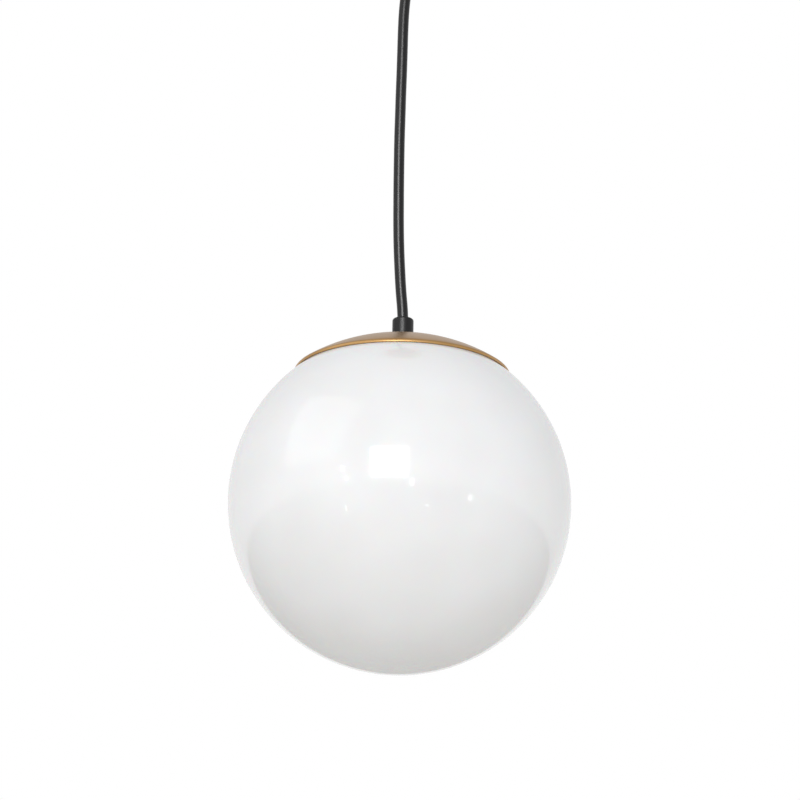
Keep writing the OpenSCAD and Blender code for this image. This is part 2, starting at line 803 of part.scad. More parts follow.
mounting_bar();
earth_screw();
rose();
rose_side_screws();
rose_tube();
rose_washer();
rose_nut();
rose_grip();
rose_grip_screw();
cord_tail();
terminal_block();
terminal_screws();
live_wire();
neutral_wire();
earth_wire();
bar_earth_wire();
cord();
lamp_grip();
lamp_grip_screw();
lamp_lead();
lamp_live_core();
lamp_neutral_core();
lamp_earth_core();
lamp_tube();
cap();
cap_washer();
cap_nut();
seat_ring();
clip_plate();
plate_nuts();
leaf_clips();
clip_rivets();
plate_earth_screw();
holder_cap();
holder_shell();
holder_insulator();
holder_terminals();
screw_shell();
centre_contact();
globe();
bulb_contact();
bulb_insulator();
bulb_base();
bulb_envelope();
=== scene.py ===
# %% [markdown]
# # A pendant ceiling light
# An opal glass globe is held up against a domed brass cap by three spring clips. A black
# three-core cord carries it from a brass ceiling rose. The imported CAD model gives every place
# and size, so this lesson only has to make the surfaces look like glass, brass and moulded nylon.

# %% Load the frame
import math

import bpy
from mathutils import Matrix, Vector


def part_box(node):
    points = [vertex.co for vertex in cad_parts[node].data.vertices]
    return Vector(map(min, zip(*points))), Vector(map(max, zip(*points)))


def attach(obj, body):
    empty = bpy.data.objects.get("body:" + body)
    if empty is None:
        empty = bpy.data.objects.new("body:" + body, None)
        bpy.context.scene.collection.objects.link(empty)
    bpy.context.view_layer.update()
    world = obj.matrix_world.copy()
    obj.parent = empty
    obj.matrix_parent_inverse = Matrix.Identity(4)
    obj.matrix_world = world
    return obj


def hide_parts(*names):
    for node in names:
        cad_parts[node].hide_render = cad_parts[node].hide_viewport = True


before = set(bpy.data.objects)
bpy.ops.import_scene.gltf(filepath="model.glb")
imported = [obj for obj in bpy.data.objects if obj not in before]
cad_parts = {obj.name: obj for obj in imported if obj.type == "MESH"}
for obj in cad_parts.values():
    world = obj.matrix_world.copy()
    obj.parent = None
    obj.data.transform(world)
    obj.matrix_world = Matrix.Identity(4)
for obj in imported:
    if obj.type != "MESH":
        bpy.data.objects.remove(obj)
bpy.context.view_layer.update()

MM = 0.001
GLOBE_MM = 125
globe_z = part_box("globe")[0][2] + GLOBE_MM * MM


def deselect():
    """Leaves edit mode and lets go of everything, such as the nodes that the load selected."""
    if bpy.context.object and bpy.context.object.mode != "OBJECT":
        bpy.ops.object.mode_set(mode="OBJECT")
    bpy.ops.object.select_all(action="DESELECT")


def select_only(piece):
    """Makes the piece the only selected object, and the active one."""
    deselect()
    piece.select_set(True)
    bpy.context.view_layer.objects.active = piece


print("nodes:", len(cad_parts), "globe centre:", round(globe_z, 4))

# %% [markdown]
# ## Camera
# The light is seen from a little below, as someone standing in the room sees it. A long lens
# from two metres away keeps the globe round. Rotation by Euler angles is easy to read: first
# the roll about the lens, then the tilt up from level, then the turn to the side.

# %% Camera
LENS_MM = 135.77
EYE = (0, -2.1072, globe_z - 0.6322)
TILT_UP, TURN, ROLL = 18.665, 0.03, 1.11
deselect()
bpy.ops.object.camera_add(location=EYE)
camera = bpy.context.object
camera.name = "camera"
camera.data.lens = LENS_MM
bpy.context.scene.camera = camera


def aim(obj, tilt_up, turn, roll):
    """Points an object's -Z axis level along +Y, then tilts, turns and rolls it, in degrees."""
    level = Matrix.Rotation(math.radians(turn), 4, "Z") @ Matrix.Rotation(
        math.radians(90 + tilt_up), 4, "X") @ Matrix.Rotation(math.radians(roll), 4, "Z")
    obj.rotation_euler = level.to_euler()


aim(camera, TILT_UP, TURN, ROLL)
print("lens", LENS_MM, "mm, from", EYE)

# %% [markdown]
# ## The cord
# The cord is about 8.1 mm thick, with three cores in a PVC sheath. Its weight doesn't pull it
# quite straight, so a slow bow is left in it from the drum. A curve object is the natural way
# to make it: one spline gives the centre line, and the bevel depth gives the round sheath.
# It is made a mesh at once, so that its size can be measured like any other piece's. The route
# runs from the bend point in the rose's grip to the one in the lamp's grip.

# %% Cord
CORD_D = 8.1 * MM
cord_route_mm = [
    (0, -44), (0, -56), (-1, -70), (-2.6, -84), (-3.7, -98), (-4.2, -114), (-4.4, -132),
    (-4.6, -150), (-4.9, -168), (-5.1, -186), (-5.3, -204), (-5.3, -222), (-5.2, -240),
    (-5, -258), (-4.7, -276), (-4.1, -294), (-3.1, -312), (-1.9, -329), (-0.6, -343), (0, -354)]
cord_route = [(x * MM, 0, z * MM) for x, z in cord_route_mm]


def round_cord(name, points, diameter, sides=4):
    """A round, closed-ended tube through the points."""
    line = bpy.data.curves.new(name, "CURVE")
    line.dimensions = "3D"
    line.bevel_depth = diameter / 2
    line.bevel_resolution = sides
    line.resolution_u = 6
    line.use_fill_caps = True
    spline = line.splines.new("BEZIER")
    spline.bezier_points.add(len(points) - 1)
    for knot, place in zip(spline.bezier_points, points):
        knot.co = place
        knot.handle_left_type = knot.handle_right_type = "AUTO"
    piece = bpy.data.objects.new(name, line)
    bpy.context.collection.objects.link(piece)
    select_only(piece)
    bpy.ops.object.convert(target="MESH")
    bpy.ops.object.shade_smooth_by_angle(angle=math.radians(50))
    return bpy.context.object


cord = round_cord("cord_sheath", cord_route, CORD_D, sides=8)
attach(cord, "cord")
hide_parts("cord")

# %% [markdown]
# ## Tools of the workshop
# Most of this lamp is turned, spun or blown, so one tool does most of the work. It draws half
# of a section, one corner at a time, by extruding a single vertex, and then spins the section
# round the upright axis. The spin can leave the faces looking inwards, so the normals are made
# consistent after the doubled first and last ring are merged.

# %% Turning
SEAM = 0.001 * MM


def draw_line(name, corners):
    """A chain of edges through the corners, left open in edit mode."""
    deselect()
    bpy.ops.mesh.primitive_plane_add(size=MM)
    piece = bpy.context.object
    piece.name = piece.data.name = name
    bpy.ops.object.mode_set(mode="EDIT")
    bpy.ops.mesh.merge(type="CENTER")
    bpy.ops.transform.translate(value=corners[0])
    for here, there in zip(corners, corners[1:]):
        step = tuple(b - a for a, b in zip(here, there))
        bpy.ops.mesh.extrude_region_move(TRANSFORM_OT_translate={"value": step})
    return piece


def close_shape():
    """Merges the doubles of the piece in edit mode and turns its faces outwards."""
    bpy.ops.mesh.select_all(action="SELECT")
    bpy.ops.mesh.remove_doubles(threshold=SEAM)
    bpy.ops.mesh.normals_make_consistent(inside=False)
    bpy.ops.object.mode_set(mode="OBJECT")


def turned(name, section, base_z=0.0, steps=96):
    """Spins a section, given as (radius, height) in millimetres, round the upright axis."""
    corners = [(r * MM, 0, base_z + z * MM) for r, z in section]
    piece = draw_line(name, corners)
    bpy.ops.mesh.select_all(action="SELECT")
    bpy.ops.mesh.spin(steps=steps, angle=math.tau, center=(0, 0, 0), axis=(0, 0, 1))
    close_shape()
    return piece


print("turning tools ready, seams merge within", SEAM, "m")


# %% Arcs, edges and places
def arc(centre, radius, start, end, count):
    """Points along an arc of a section, by angles in degrees from the outward direction."""
    angles = [math.radians(start + (end - start) * i / count) for i in range(count + 1)]
    return [(centre[0] + radius * math.cos(a), centre[1] + radius * math.sin(a)) for a in angles]


def finish_edges(piece, width_mm, segments=2, angle=30):
    """Rounds the sharp edges, applies every modifier and shades the rest smooth."""
    if width_mm:
        bevel = piece.modifiers.new("soft edges", "BEVEL")
        bevel.width = width_mm * MM
        bevel.segments = segments
        bevel.limit_method = "ANGLE"
        bevel.angle_limit = math.radians(angle)
    select_only(piece)
    for modifier in list(piece.modifiers):
        bpy.ops.object.modifier_apply(modifier=modifier.name)
    bpy.ops.object.shade_smooth_by_angle(angle=math.radians(angle))
    piece.select_set(False)


def place(piece, body, slot, *nodes):
    """Lets a finished piece ride on its body in place of its CAD nodes."""
    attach(piece, body)
    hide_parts(*nodes)
    print(piece.name, "on", body, "with", len(piece.data.polygons), "faces")


print("finishing tools ready")

# %% [markdown]
# ## The glass globe
# The globe is blown opal glass, 250 mm across and 3 mm thick, with a 128 mm opening that is
# cut and ground. A sphere primitive would give the outside only. Spinning a section with both
# walls gives the wall and the ground edge together, and a bevel softens the edge as the
# polishing belt does.

# %% Globe
GLASS_MM = 3
OPENING_MM = 64
INSIDE_MM = GLOBE_MM - GLASS_MM
outer_edge = math.degrees(math.acos(OPENING_MM / GLOBE_MM))
inner_edge = math.degrees(math.acos(OPENING_MM / INSIDE_MM))
globe_section = arc((0, 0), GLOBE_MM, -90, outer_edge, 84)
globe_section += arc((0, 0), INSIDE_MM, inner_edge, -90, 60)
globe = turned("globe_glass", globe_section, globe_z, steps=144)
finish_edges(globe, 0.9, segments=3, angle=40)
place(globe, "globe", "opal_glass", "globe")

# %% [markdown]
# ## The brass cap
# The cap is spun from 0.8 mm sheet: a shallow dome that ends in a small turned-down lip. The
# lip catches a thin bright line of light, so its two bends are rounded and the free edge is
# rolled a little. The dome's radius follows from its edge and its top.

# %% Cap
cap_low, cap_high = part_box("cap")
CAP_R, CAP_WALL, LIP_MM, BORE_MM = 80, 0.8, 2.4, 5.1
cap_top = (cap_high[2] - globe_z) / MM
lip_low = (cap_low[2] - globe_z) / MM
lip_top = lip_low + LIP_MM
dome_rise = cap_top - lip_top
dome_r = (CAP_R ** 2 - BORE_MM ** 2 + dome_rise ** 2) / (2 * dome_rise)
dome_r = math.hypot(dome_r, BORE_MM)
dome_z = cap_top - math.sqrt(dome_r ** 2 - BORE_MM ** 2)


def dome_arc(radius, inner_r, outer_r, count):
    """Points along the cap's dome, from one distance off the axis to another."""
    angles = [math.degrees(math.acos(r / radius)) for r in (inner_r, outer_r)]
    return arc((0, dome_z), radius, angles[0], angles[1], count)


cap_section = dome_arc(dome_r, BORE_MM, CAP_R - 0.7, 48)
cap_section += [(CAP_R - 0.16, lip_top - 0.1), (CAP_R, lip_top - 0.75)]
cap_section += [(CAP_R, lip_low + 0.45), (CAP_R - 0.12, lip_low + 0.2),
                (CAP_R - 0.4, lip_low + 0.12), (CAP_R - 0.7, lip_low + 0.3)]
cap_section += [(CAP_R - CAP_WALL, lip_low + 0.7), (CAP_R - CAP_WALL, lip_top - 0.75)]
cap_section += dome_arc(dome_r - CAP_WALL, CAP_R - CAP_WALL - 0.6, BORE_MM, 40)
cap_section += [cap_section[0]]
cap = turned("brass_cap", cap_section, globe_z, steps=160)
finish_edges(cap, 0, angle=50)
place(cap, "lamp", "brass", "cap")
print("dome radius", round(dome_r, 1), "mm, rise", round(dome_rise, 1), "mm")

# %% [markdown]
# ## Cord grips
# A moulded nylon grip screws onto the threaded tube and clamps the cord with a small screw at
# the back. The two grips are the same moulding, one upright on the cap and one upside down
# under the rose. The mouth is flared so that the cord can't chafe, and the top shoulder has a
# small soft radius.

# %% Grip section
GRIP_R, GRIP_MM, SHOULDER = 7.9, 18.5, 1.6
THREAD_BORE = 5.05
MOUTH_R = CORD_D / MM / 2 + 0.45
grip_section = [(THREAD_BORE, 0), (GRIP_R - 0.35, 0), (GRIP_R, 0.35), (GRIP_R, 6), (GRIP_R, 12)]
grip_section += arc((GRIP_R - SHOULDER, GRIP_MM - SHOULDER), SHOULDER, 0, 90, 8)
grip_section += [(MOUTH_R + 1.35, GRIP_MM), (MOUTH_R + 1, GRIP_MM - 0.25),
                 (MOUTH_R + 0.72, GRIP_MM - 0.8), (MOUTH_R + 0.36, GRIP_MM - 1.9)]
grip_section += [(MOUTH_R, GRIP_MM - 3), (MOUTH_R, 9.2),
                 (THREAD_BORE, 9), (THREAD_BORE, 0)]
print("grip section:", len(grip_section), "corners, mouth", round(MOUTH_R, 2), "mm")

# %% Two grips
DRILL_R, DRILL_LONG = 1.55, 10

def cord_grip(name, body, node, flip):
    """One grip, drilled for its screw at the back, standing on the cap or hung from the rose."""
    low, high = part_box(node)
    up = -1 if flip else 1
    section = [(r, up * z) for r, z in grip_section]
    piece = turned(name, section, high[2] if flip else low[2], steps=64)
    screw_low, screw_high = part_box(node + "_screw")
    middle = (screw_low[2] + screw_high[2]) / 2
    deselect()
    bpy.ops.mesh.primitive_cylinder_add(vertices=24, radius=DRILL_R * MM,
                                        depth=DRILL_LONG * MM, location=(0, 9 * MM, middle),
                                        rotation=(math.radians(90), 0, 0))
    drill = bpy.context.object
    hole = piece.modifiers.new("screw hole", "BOOLEAN")
    hole.object = drill
    hole.operation = "DIFFERENCE"
    finish_edges(piece, 0, angle=40)
    bpy.data.objects.remove(drill)
    place(piece, body, "black_nylon", node)
    return piece


lamp_grip = cord_grip("lamp_cord_grip", "lamp", "lamp_grip", flip=False)
rose_grip = cord_grip("rose_cord_grip", "ceiling", "rose_grip", flip=True)

# %% [markdown]
# ## The ceiling rose
# The rose is a spun brass cup, open at the ceiling. It has the same finish as the cap, a
# generous corner, and a rim that is folded in on itself so that it sits flat.

# %% Rose
rose_low, rose_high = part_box("rose")
ROSE_R, ROSE_WALL, CORNER = 55, 1.0, 8
rose_h = (rose_high[2] - rose_low[2]) / MM
rose_section = [(BORE_MM, 0)] + arc((ROSE_R - CORNER, CORNER), CORNER, -90, 0, 16)
rose_section += [(ROSE_R, 14), (ROSE_R, rose_h - 0.4), (ROSE_R - 0.3, rose_h),
                 (ROSE_R - ROSE_WALL - 0.1, rose_h), (ROSE_R - ROSE_WALL, rose_h - 0.5)]
rose_section += arc((ROSE_R - CORNER, CORNER), CORNER - ROSE_WALL, 0, -90, 12)
rose_section += [(BORE_MM, ROSE_WALL), (BORE_MM, 0)]
rose = turned("brass_rose", rose_section, rose_low[2], steps=128)
finish_edges(rose, 0, angle=50)
place(rose, "ceiling", "brass", "rose")

# %% [markdown]
# ## Spring clips and rivets
# Three leaf clips of spring steel reach through the opening and press on the glass's inner
# edge. Each one is a strip bent over a former. The bend line is drawn first, its corners are
# rounded by a vertex bevel, the line is pulled out to the strip's width, and Solidify gives
# the sheet its 0.7 mm.

# %% Clips
plate_low, plate_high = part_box("clip_plate")
CLIP_W, CLIP_T = 12, 0.7
BEARINGS = (90, 210, 330)
EDGE_OUT, EDGE_IN, PLATE_R = 107.373, 103.865, 44
clip_height = (plate_low[2] - globe_z) / MM - CLIP_T / 2
clip_line = [(PLATE_R - 12, clip_height), (OPENING_MM - 14, clip_height),
             (OPENING_MM - 9, clip_height - 1.7), (OPENING_MM - 5, EDGE_OUT - 0.4),
             (OPENING_MM - 1.9, EDGE_IN), (OPENING_MM + 1.6, EDGE_IN - 2.5),
             (OPENING_MM - 0.5, EDGE_IN - 9), (OPENING_MM - 7, EDGE_IN - 16.5),
             (OPENING_MM - 13, EDGE_IN - 20)]


def leaf_clip(name, bearing):
    """One leaf clip, bent to its line and turned to its bearing in degrees."""
    corners = [(r * MM, -CLIP_W / 2 * MM, globe_z + z * MM) for r, z in clip_line]
    piece = draw_line(name, corners)
    bpy.ops.mesh.select_all(action="SELECT")
    bpy.ops.mesh.bevel(offset=1.2 * MM, segments=4, affect="VERTICES")
    bpy.ops.mesh.select_all(action="SELECT")
    bpy.ops.mesh.extrude_region_move(TRANSFORM_OT_translate={"value": (0, CLIP_W * MM, 0)})
    close_shape()
    sheet = piece.modifiers.new("sheet", "SOLIDIFY")
    sheet.thickness = CLIP_T * MM
    sheet.offset = 0
    finish_edges(piece, 0.18, angle=40)
    piece.rotation_euler.z = math.radians(bearing)
    piece.select_set(True)
    bpy.ops.object.transform_apply(rotation=True)
    return piece


clips = [leaf_clip(f"leaf_clip_{bearing}", bearing) for bearing in BEARINGS]
for clip in clips:
    place(clip, "lamp", "spring_steel", "leaf_clips")

# %% Rivets
RIVET_R, HEAD_R, HEAD_MM = 1.5, 2.5, 0.9
rivet_top = (plate_high[2] - globe_z) / MM
rivet_low = (plate_low[2] - globe_z) / MM - CLIP_T
rivet_section = [(0, rivet_low - HEAD_MM), (1.3, rivet_low - HEAD_MM * 0.85),
                 (2.2, rivet_low - HEAD_MM * 0.4), (HEAD_R, rivet_low), (RIVET_R, rivet_low),
                 (RIVET_R, rivet_top), (HEAD_R, rivet_top), (2.2, rivet_top + HEAD_MM * 0.4),
                 (1.3, rivet_top + HEAD_MM * 0.85), (0, rivet_top + HEAD_MM)]
first_rivet = turned("clip_rivet", rivet_section, globe_z, steps=20)
finish_edges(first_rivet, 0, angle=50)
rivets = []
for bearing in BEARINGS:
    for reach in (PLATE_R - 8, PLATE_R - 3):
        rivet = first_rivet.copy()
        rivet.data = first_rivet.data.copy()
        rivet.name = f"clip_rivet_{bearing}_{reach}"
        bpy.context.collection.objects.link(rivet)
        turn = math.radians(bearing)
        rivet.location = (reach * MM * math.cos(turn), reach * MM * math.sin(turn), 0)
        select_only(rivet)
        bpy.ops.object.transform_apply(location=True)
        place(rivet, "lamp", "zinc_steel", "clip_rivets")
        rivets.append(rivet)
bpy.data.objects.remove(first_rivet)

# %% [markdown]
# ## Lamp holder
# The holder is moulded in black phenolic: a cap that screws on the tube, and a shell below it
# with a ribbed band for the fingers. The ribs are cut by pushing every fourth column of faces
# inwards, which is what an inset and a shrink do by hand.

# %% Holder cap
cap_box, shell_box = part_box("holder_cap"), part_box("holder_shell")
HOLDER_R, HOLDER_IN, NECK_R = 20, 17, 8.5
holder_top = [(NECK_R, 0), (NECK_R, -2.4), (18.5, -13), (HOLDER_R, -15), (HOLDER_R, -21.4),
              (19.4, -22), (HOLDER_IN, -22), (HOLDER_IN, -16), (8.6, -10),
              (THREAD_BORE, -10), (THREAD_BORE, 0), (NECK_R, 0)]
holder_cap = turned("holder_cap_moulding", holder_top, cap_box[1][2], steps=72)
finish_edges(holder_cap, 0.5, segments=3)
place(holder_cap, "lamp", "phenolic", "holder_cap")

# %% Holder shell and its ribs
shell_h = (shell_box[1][2] - shell_box[0][2]) / MM
SOCKET_R = 14.77
RIBS, COLUMNS_A_RIB = 36, 4
RIB_LOW, RIB_HIGH, RIB_DEPTH = 17, 31, 0.5
column_deg = 360 / (RIBS * COLUMNS_A_RIB)
shell_section = [(SOCKET_R, 0), (18, 0), (19.2, 7), (19.8, 11.5), (HOLDER_R, 13),
                 (HOLDER_R, RIB_LOW), (HOLDER_R, RIB_HIGH), (19.6, 32), (HOLDER_R, 33),
                 (HOLDER_R, shell_h), (HOLDER_IN, shell_h), (HOLDER_IN, 2), (SOCKET_R, 2),
                 (SOCKET_R, 0)]
holder_shell = turned("holder_shell_moulding", shell_section, shell_box[0][2],
                      steps=RIBS * COLUMNS_A_RIB)
select_only(holder_shell)
for face in holder_shell.data.polygons:
    height = (face.center.z - shell_box[0][2]) / MM
    turned_by = math.degrees(math.atan2(face.center.y, face.center.x)) % 360
    first_column = int(turned_by // column_deg) % COLUMNS_A_RIB == 0
    outside = math.hypot(face.center.x, face.center.y) > (HOLDER_R - 1) * MM
    face.select = RIB_LOW < height < RIB_HIGH and first_column and outside
bpy.ops.object.mode_set(mode="EDIT")
bpy.ops.mesh.select_mode(type="FACE")
bpy.ops.mesh.inset(thickness=0.12 * MM, use_individual=True)
bpy.ops.transform.shrink_fatten(value=-RIB_DEPTH * MM)
bpy.ops.mesh.select_mode(type="VERT")
bpy.ops.object.mode_set(mode="OBJECT")
finish_edges(holder_shell, 0, angle=35)
place(holder_shell, "lamp", "phenolic", "holder_shell")

# %% [markdown]
# ## Screw threads
# The bulb's base and the holder's screw shell are rolled from thin sheet, so the thread is a
# soft wave on both faces. One pitch of the wave is drawn upright, and the Screw modifier winds
# it upwards for as many turns as are needed. Its turns meet edge to edge. A bisect at each end
# cuts the helix off square, and Solidify gives the sheet.

# %% Threads
PITCH, THREAD_R, THREAD_DEPTH = 3.629, 12.6, 0.47
POINTS_A_PITCH, STEPS_A_TURN, SHEET_MM = 12, 36, 0.5


def rolled_thread(name, node, radius, wall):
    """A rolled thread of a mean radius, as high as its CAD node, with sheet of that wall."""
    low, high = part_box(node)
    turns = round((high[2] - low[2]) / (PITCH * MM)) + 2
    wave = []
    for i in range(POINTS_A_PITCH + 1):
        drop = PITCH * (1 - i / POINTS_A_PITCH)
        swell = THREAD_DEPTH * math.cos(math.tau * drop / PITCH)
        wave.append(((radius + swell) * MM, 0, high[2] - (turns - 1) * PITCH * MM - drop * MM))
    piece = draw_line(name, wave)
    bpy.ops.object.mode_set(mode="OBJECT")
    screw = piece.modifiers.new("helix", "SCREW")
    screw.axis = "Z"
    screw.angle = math.tau * turns
    screw.screw_offset = PITCH * MM * turns
    screw.steps = screw.render_steps = STEPS_A_TURN * turns
    screw.use_merge_vertices = False
    select_only(piece)
    bpy.ops.object.modifier_apply(modifier=screw.name)
    bpy.ops.object.mode_set(mode="EDIT")
    bpy.ops.mesh.select_all(action="SELECT")
    bpy.ops.mesh.remove_doubles(threshold=SEAM * 10)
    bpy.ops.mesh.bisect(plane_co=(0, 0, high[2]), plane_no=(0, 0, 1), clear_outer=True)
    bpy.ops.mesh.select_all(action="SELECT")
    bpy.ops.mesh.bisect(plane_co=(0, 0, low[2]), plane_no=(0, 0, 1), clear_inner=True)
    close_shape()
    sheet = piece.modifiers.new("sheet", "SOLIDIFY")
    sheet.thickness = wall * MM
    sheet.offset = -1
    finish_edges(piece, 0, angle=60)
    return piece


bulb_base = rolled_thread("bulb_screw_base", "bulb_base", THREAD_R, SHEET_MM)
place(bulb_base, "bulb", "nickel_brass", "bulb_base")
screw_shell = rolled_thread("holder_screw_shell", "screw_shell", THREAD_R + 0.9,
                            SHEET_MM)
place(screw_shell, "lamp", "copper_alloy", "screw_shell")

# %% [markdown]
# ## Bulb
# The bulb's envelope swells from the neck into a 60 mm ball. The section is drawn with few
# corners and a Subdivision Surface rounds it, which is how a smooth flare is easiest to make.
# The foot is black glass with a drop of solder for the contact.

# %% Bulb envelope
base_low = (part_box("bulb_base")[0][2] - globe_z) / MM
tip_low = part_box("bulb_contact")[0]
ball_z = (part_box("bulb_envelope")[0][2] - globe_z) / MM + 30
bulb_section = [(0, base_low), (12.2, base_low), (13, base_low - 0.8), (13.1, base_low - 5),
                (13.8, base_low - 11), (16.6, base_low - 20), (22.3, ball_z + 20.6),
                (27.6, ball_z + 12.4), (30.2, ball_z + 1), (28.6, ball_z - 10.4),
                (24, ball_z - 19), (16, ball_z - 26), (7, ball_z - 29.7), (0, ball_z - 30.2)]
bulb = turned("bulb_envelope_glass", bulb_section, globe_z, steps=32)
rounding = bulb.modifiers.new("rounding", "SUBSURF")
rounding.levels = rounding.render_levels = 2
finish_edges(bulb, 0, angle=60)
place(bulb, "bulb", "bulb_glass", "bulb_envelope")

# %% Foot and solder contact
foot_low = (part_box("bulb_insulator")[0][2] - globe_z) / MM
foot_section = [(0, foot_low), (12.1, foot_low), (11.6, foot_low + 0.5), (7, foot_low + 1.5),
                (4.4, foot_low + 2.1), (3.6, foot_low + 2.3), (0, foot_low + 2.3)]
foot = turned("bulb_foot", foot_section, globe_z, steps=48)
finish_edges(foot, 0.2)
place(foot, "bulb", "black_glass", "bulb_insulator")

solder_section = [(0, 0), (3, 0), (2.9, 0.3), (2.2, 0.65), (1, 0.79), (0, 0.8)]
solder = turned("bulb_solder_contact", solder_section, tip_low[2], steps=32)
finish_edges(solder, 0, angle=60)
place(solder, "bulb_tip", "nickel_brass", "bulb_contact")

# %% [markdown]
# ## Insulated cores
# The cord's three cores spread out in the rose to the terminal block, and in the lamp to the
# holder's terminals and the earth screw. They are soft copper wires in thin insulation, so
# they bend in easy curves, and the same curve tool as the cord's makes them.

# %% Cores
CORE_D = 2 * MM
block_low, block_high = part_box("terminal_block")
tail_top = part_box("cord_tail")[1][2] / MM
entry_z = (block_low[2] + block_high[2]) / 2 / MM
block_y, block_back, WAY = block_low[1] / MM, block_high[1] / MM, 10
lead_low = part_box("lamp_lead")[0][2] / MM
insulator_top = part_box("holder_insulator")[1][2] / MM
tube_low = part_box("lamp_tube")[0][2] / MM
plate_top = plate_high[2] / MM
earth_z = lead_low - 3


def core(name, points_mm, node, body):
    """One insulated core along points in millimetres, in place of its CAD node."""
    piece = round_cord(name, [(x * MM, y * MM, z * MM) for x, y, z in points_mm], CORE_D)
    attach(piece, body)
    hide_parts(node)
    return piece


print("three cores of", CORE_D, "m at each end")


# %% Routes of the cores
def rose_core(way, x0, y0):
    """The route of a core from the sheath's end to one way of the terminal block."""
    x = way * WAY
    return [(x0, y0, tail_top), (x0, y0, tail_top + 2),
            (x0 * 1.3 + x * 0.1, y0 + 1.2, tail_top + 3.6), (x * 0.45, 6, tail_top + 4.2),
            (x * 0.8, 10, tail_top + 1.4), (x, 13.4, entry_z + 0.6), (x, block_y, entry_z),
            (x, block_y + 7, entry_z)]


def holder_core(side):
    """The route of a core from the sheath's end down to one of the holder's terminals."""
    low = insulator_top + 2.6
    return [(side * 1.8, -0.6, lead_low), (side * 1.8, -0.6, tube_low + 1),
            (side * 2.2, -0.4, tube_low - 2), (side * 4.2, 0, tube_low - 5),
            (side * 7, 0, low + 4.4), (side * 9, 0, low + 2), (side * 9, 0, low)]


bar_route = [(WAY, block_back - 7, entry_z), (WAY, block_back, entry_z),
             (WAY + 1, block_back + 3.5, entry_z + 0.6), (WAY + 5, block_back + 5, entry_z + 3),
             (WAY + 10, block_back + 2, entry_z + 6), (WAY + 13, block_back - 6, entry_z + 9),
             (WAY + 13, block_back - 16, entry_z + 12.4),
             (WAY + 11.5, block_back - 25, entry_z + 14.4), (WAY + 10, 4.6, -3.2)]
earth_end = plate_top + 1.35
earth_route = [(0, 2, lead_low), (0, 2, lead_low - 0.8), (0, 2.6, earth_z + 0.8),
               (0, 3.8, earth_z), (0, 6, earth_z), (0, 8.4, earth_z),
               (0, 10.4, (earth_z + earth_end) / 2), (0, 12, earth_end), (0, 14, earth_end)]
print("routes: bar", len(bar_route), "and earth", len(earth_route), "points")

# %% The seven wires
brown_cores = [
    core("rose_live_core", rose_core(-1, -1.7, 0.6), "live_wire", "ceiling"),
    core("lamp_live_core_wire", holder_core(1), "lamp_live_core", "lamp")]
blue_cores = [
    core("rose_neutral_core", rose_core(0, 0, -1.8), "neutral_wire", "ceiling"),
    core("lamp_neutral_core_wire", holder_core(-1), "lamp_neutral_core", "lamp")]
earth_cores = [
    core("rose_earth_core", rose_core(1, 1.7, 0.6), "earth_wire", "ceiling"),
    core("bar_earth_link", bar_route, "bar_earth_wire", "ceiling"),
    core("lamp_earth_core_wire", earth_route, "lamp_earth_core", "lamp")]
print("cores:", len(brown_cores) + len(blue_cores) + len(earth_cores))

# %% [markdown]
# ## Finishes
# Each finish starts from the real material and how its surface was made. Colours are written
# as sRGB hex values, as a paint chart gives them, and one function turns them into the linear
# numbers that the renderer counts in. One more function adds a node with its settings and its
# links, and everything else is named for the finish it makes.

# %% Colours
def linear(code):
    """An sRGB hex colour as linear RGBA."""
    parts = [int(code[i:i + 2], 16) / 255 for i in (1, 3, 5)]
    return [c / 12.92 if c <= 0.04045 else ((c + 0.055) / 1.055) ** 2.4 for c in parts] + [1]


print("brass as linear numbers:", [round(c, 3) for c in linear("#b58c55")[:3]])

# %% Materials and nodes
def add_node(tree, kind, settings=None, **links):
    """Adds a node, sets its properties or sockets by name, and links sockets into it."""
    new = tree.nodes.new(kind)
    for name, value in (settings or {}).items():
        if name in new.inputs:
            new.inputs[name].default_value = value
        else:
            setattr(new, name, value)
    for name, source in links.items():
        tree.links.new(source, new.inputs[name.replace("_", " ")])
    return new


def finish(name, **settings):
    """A new material with a Principled shader, and its Object coordinates."""
    material = bpy.data.materials.new(name)
    material.use_nodes = True
    tree = material.node_tree
    shader = tree.nodes["Principled BSDF"]
    for socket, value in settings.items():
        shader.inputs[socket.replace("_", " ")].default_value = value
    coords = add_node(tree, "ShaderNodeTexCoord").outputs["Object"]
    return material, tree, shader, coords


def mix_colours(tree, factor, first, second):
    """A colour between two hex colours, by a factor socket."""
    mix = add_node(tree, "ShaderNodeMix", {"data_type": "RGBA"})
    tree.links.new(factor, mix.inputs[0])
    mix.inputs[6].default_value = linear(first)
    mix.inputs[7].default_value = linear(second)
    return mix.outputs[2]


def grain(tree, coords, size_mm, detail=3, **settings):
    """Noise whose blotches are about size_mm across."""
    noise = add_node(tree, "ShaderNodeTexNoise",
                     {"Scale": 1 / (size_mm * MM), "Detail": detail, **settings}, Vector=coords)
    return noise.outputs["Fac"]


def spread(tree, value, low, high, start=0.3, end=0.7):
    """Maps a noise value onto a range, such as of roughness."""
    band = add_node(tree, "ShaderNodeMapRange", {"From Min": start, "From Max": end,
                                                 "To Min": low, "To Max": high}, Value=value)
    return band.outputs["Result"]


def relief(tree, shader, height, depth_mm, strength=1.0):
    """A bump of a real depth on the shader's normal."""
    bump = add_node(tree, "ShaderNodeBump", {"Distance": depth_mm * MM, "Strength": strength},
                    Height=height)
    tree.links.new(bump.outputs["Normal"], shader.inputs["Normal"])


def wear(material, *pieces):
    """Gives the material to the pieces, in all their slots."""
    for piece in pieces:
        piece.data.materials.clear()
        piece.data.materials.append(material)


